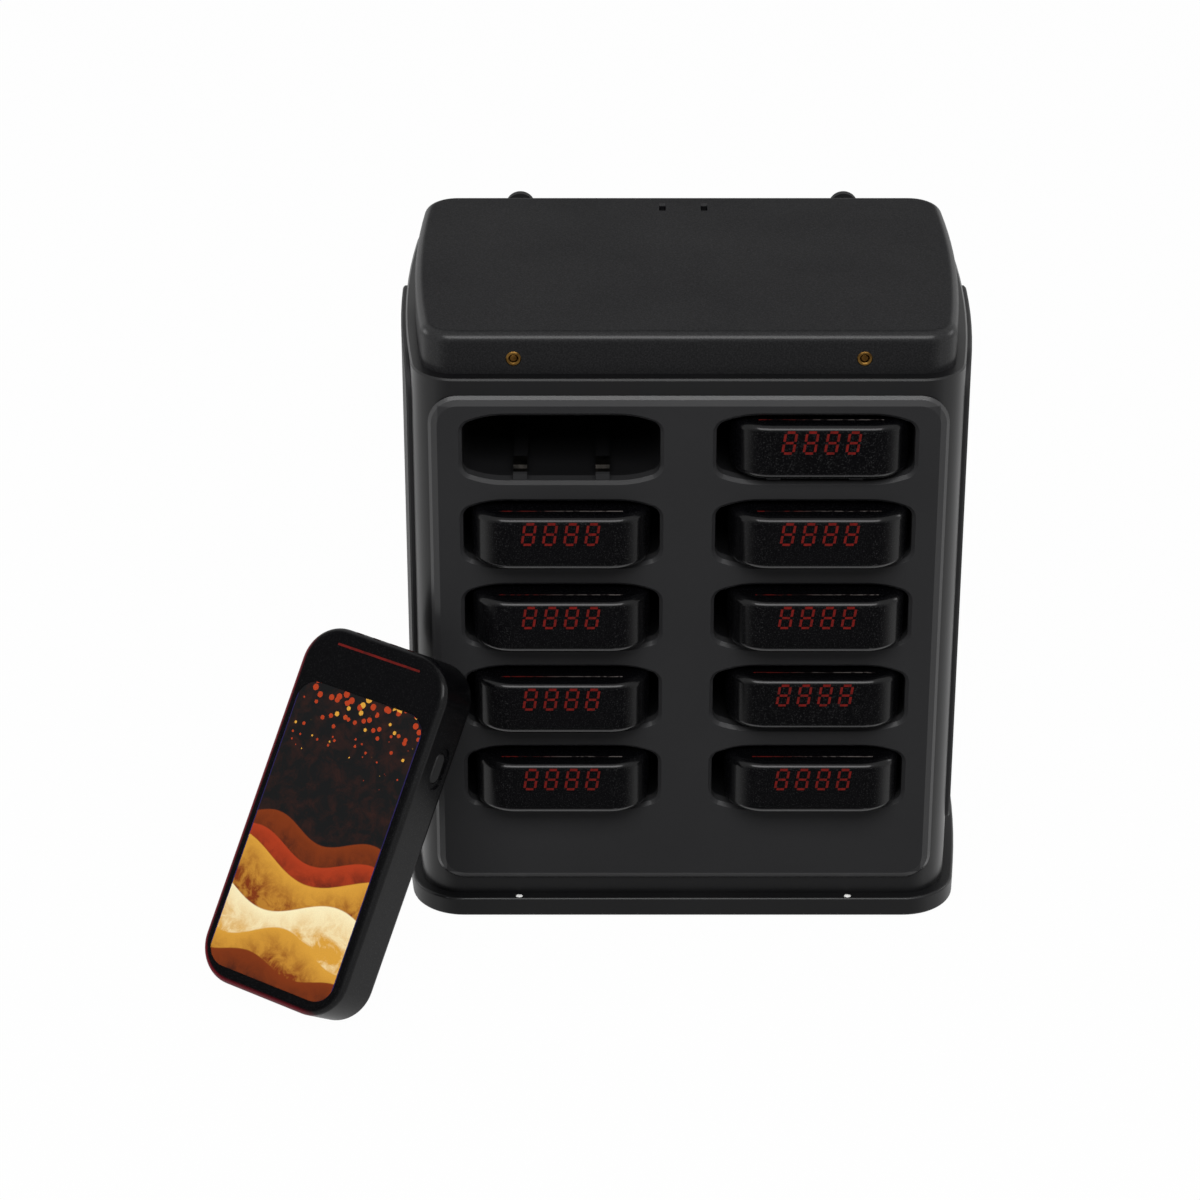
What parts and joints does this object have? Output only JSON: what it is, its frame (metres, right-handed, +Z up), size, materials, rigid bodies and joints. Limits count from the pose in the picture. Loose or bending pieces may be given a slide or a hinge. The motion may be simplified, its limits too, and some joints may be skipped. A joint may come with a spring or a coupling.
{
  "type": "guest pager system",
  "caption": "Guest pager system: a charging base with rows of bays, docked pagers with red figure displays and side buttons, and a loose pager leaning on the base.",
  "frame": {"origin": "on the surface that the feet stand on, under the middle of the housing", "axes": "+Z up, +X to the right seen from the front, +Y to the back; the bays open towards -Y"},
  "size_m": [0.2283, 0.1898, 0.192],
  "materials": {
    "housing": "fine satin grain",
    "fascia": "satin",
    "cap": "fine leather-like grain",
    "plinth": "satin",
    "grip_rubber": "matt",
    "pocket": "matt",
    "contact_metal": "brushed",
    "circuit_board": "solder mask",
    "inlet_plastic": "satin",
    "ring_brass": "aged",
    "bumper_rubber": "matt",
    "foot_rubber": "matt",
    "screw_steel": "blackened",
    "smoked_cover": "smoked, polished",
    "pager_shell": "fine sparkle grain",
    "pager_inside": "satin",
    "label_card": "printed, satin",
    "display_block": "filtered",
    "battery_foil": "foil",
    "motor_steel": "turned",
    "button_rubber": "matt"
  },
  "bodies": {
    "base": {"body_shell": "housing", "rear_cover": "housing", "front_panel": "fascia", "top_cap": "cap", "plinth": "plinth", "side_pads": "grip_rubber", "bay_stack_left": "pocket", "bay_stack_right": "pocket", "bay_contacts": "contact_metal", "main_board": "circuit_board", "dc_inlet": "inlet_plastic", "cap_contact_rings": "ring_brass", "rear_bumpers": "bumper_rubber", "base_feet": "foot_rubber", "case_screws": "screw_steel"},
    "contacts": {"free_contacts": "contact_metal"},
    "loose_pager": {"loose_cover": "smoked_cover", "loose_shell": "pager_shell", "loose_label_card": "label_card", "loose_display": "display_block", "loose_board": "circuit_board", "loose_battery": "battery_foil", "loose_motor": "motor_steel"},
    "loose_button": {"loose_button": "button_rubber"},
    "pager_l2": {"pager_l2_cover": "smoked_cover", "pager_l2_shell": "pager_shell", "pager_l2_core": "pager_inside"},
    "button_l2": {"pager_l2_button": "button_rubber"},
    "pager_l3": {"pager_l3_cover": "smoked_cover", "pager_l3_shell": "pager_shell", "pager_l3_core": "pager_inside"},
    "button_l3": {"pager_l3_button": "button_rubber"},
    "pager_l4": {"pager_l4_cover": "smoked_cover", "pager_l4_shell": "pager_shell", "pager_l4_core": "pager_inside"},
    "button_l4": {"pager_l4_button": "button_rubber"},
    "pager_l5": {"pager_l5_cover": "smoked_cover", "pager_l5_shell": "pager_shell", "pager_l5_core": "pager_inside"},
    "button_l5": {"pager_l5_button": "button_rubber"},
    "pager_r1": {"pager_r1_cover": "smoked_cover", "pager_r1_shell": "pager_shell", "pager_r1_core": "pager_inside"},
    "button_r1": {"pager_r1_button": "button_rubber"},
    "pager_r2": {"pager_r2_cover": "smoked_cover", "pager_r2_shell": "pager_shell", "pager_r2_core": "pager_inside"},
    "button_r2": {"pager_r2_button": "button_rubber"},
    "pager_r3": {"pager_r3_cover": "smoked_cover", "pager_r3_shell": "pager_shell", "pager_r3_core": "pager_inside"},
    "button_r3": {"pager_r3_button": "button_rubber"},
    "pager_r4": {"pager_r4_cover": "smoked_cover", "pager_r4_shell": "pager_shell", "pager_r4_core": "pager_inside"},
    "button_r4": {"pager_r4_button": "button_rubber"},
    "pager_r5": {"pager_r5_cover": "smoked_cover", "pager_r5_shell": "pager_shell", "pager_r5_core": "pager_inside"},
    "button_r5": {"pager_r5_button": "button_rubber"}
  },
  "joints": [
    {"name": "contacts_press", "type": "slide", "parent": "base", "child": "contacts", "axis": [0, 0, -1], "range_m": [0, 0.0006], "stiffness_N_per_m": 300, "springref_m": -0.001},
    {"name": "loose_pager_lift", "type": "slide", "parent": "base", "child": "loose_pager", "axis": [-0.4623, -0.6726, 0.5779], "range_m": [0, 0.08]},
    {"name": "loose_button_press", "type": "slide", "parent": "loose_pager", "child": "loose_button", "axis": [-0.8241, 0.5664, 0], "range_m": [0, 0.0008], "stiffness_N_per_m": 300, "springref_m": -0.001},
    {"name": "pager_l2_slide", "type": "slide", "parent": "base", "child": "pager_l2", "axis": [0, -1, 0], "range_m": [0, 0.11]},
    {"name": "button_l2_press", "type": "slide", "parent": "pager_l2", "child": "button_l2", "axis": [1, 0, 0], "range_m": [0, 0.0008], "stiffness_N_per_m": 300, "springref_m": -0.001},
    {"name": "pager_l3_slide", "type": "slide", "parent": "base", "child": "pager_l3", "axis": [0, -1, 0], "range_m": [0, 0.11]},
    {"name": "button_l3_press", "type": "slide", "parent": "pager_l3", "child": "button_l3", "axis": [1, 0, 0], "range_m": [0, 0.0008], "stiffness_N_per_m": 300, "springref_m": -0.001},
    {"name": "pager_l4_slide", "type": "slide", "parent": "base", "child": "pager_l4", "axis": [0, -1, 0], "range_m": [0, 0.11]},
    {"name": "button_l4_press", "type": "slide", "parent": "pager_l4", "child": "button_l4", "axis": [1, 0, 0], "range_m": [0, 0.0008], "stiffness_N_per_m": 300, "springref_m": -0.001},
    {"name": "pager_l5_slide", "type": "slide", "parent": "base", "child": "pager_l5", "axis": [0, -1, 0], "range_m": [0, 0.11]},
    {"name": "button_l5_press", "type": "slide", "parent": "pager_l5", "child": "button_l5", "axis": [1, 0, 0], "range_m": [0, 0.0008], "stiffness_N_per_m": 300, "springref_m": -0.001},
    {"name": "pager_r1_slide", "type": "slide", "parent": "base", "child": "pager_r1", "axis": [0, -1, 0], "range_m": [0, 0.11]},
    {"name": "button_r1_press", "type": "slide", "parent": "pager_r1", "child": "button_r1", "axis": [1, 0, 0], "range_m": [0, 0.0008], "stiffness_N_per_m": 300, "springref_m": -0.001},
    {"name": "pager_r2_slide", "type": "slide", "parent": "base", "child": "pager_r2", "axis": [0, -1, 0], "range_m": [0, 0.11]},
    {"name": "button_r2_press", "type": "slide", "parent": "pager_r2", "child": "button_r2", "axis": [1, 0, 0], "range_m": [0, 0.0008], "stiffness_N_per_m": 300, "springref_m": -0.001},
    {"name": "pager_r3_slide", "type": "slide", "parent": "base", "child": "pager_r3", "axis": [0, -1, 0], "range_m": [0, 0.11]},
    {"name": "button_r3_press", "type": "slide", "parent": "pager_r3", "child": "button_r3", "axis": [1, 0, 0], "range_m": [0, 0.0008], "stiffness_N_per_m": 300, "springref_m": -0.001},
    {"name": "pager_r4_slide", "type": "slide", "parent": "base", "child": "pager_r4", "axis": [0, -1, 0], "range_m": [0, 0.11]},
    {"name": "button_r4_press", "type": "slide", "parent": "pager_r4", "child": "button_r4", "axis": [1, 0, 0], "range_m": [0, 0.0008], "stiffness_N_per_m": 300, "springref_m": -0.001},
    {"name": "pager_r5_slide", "type": "slide", "parent": "base", "child": "pager_r5", "axis": [0, -1, 0], "range_m": [0, 0.11]},
    {"name": "button_r5_press", "type": "slide", "parent": "pager_r5", "child": "button_r5", "axis": [1, 0, 0], "range_m": [0, 0.0008], "stiffness_N_per_m": 300, "springref_m": -0.001}
  ]
}
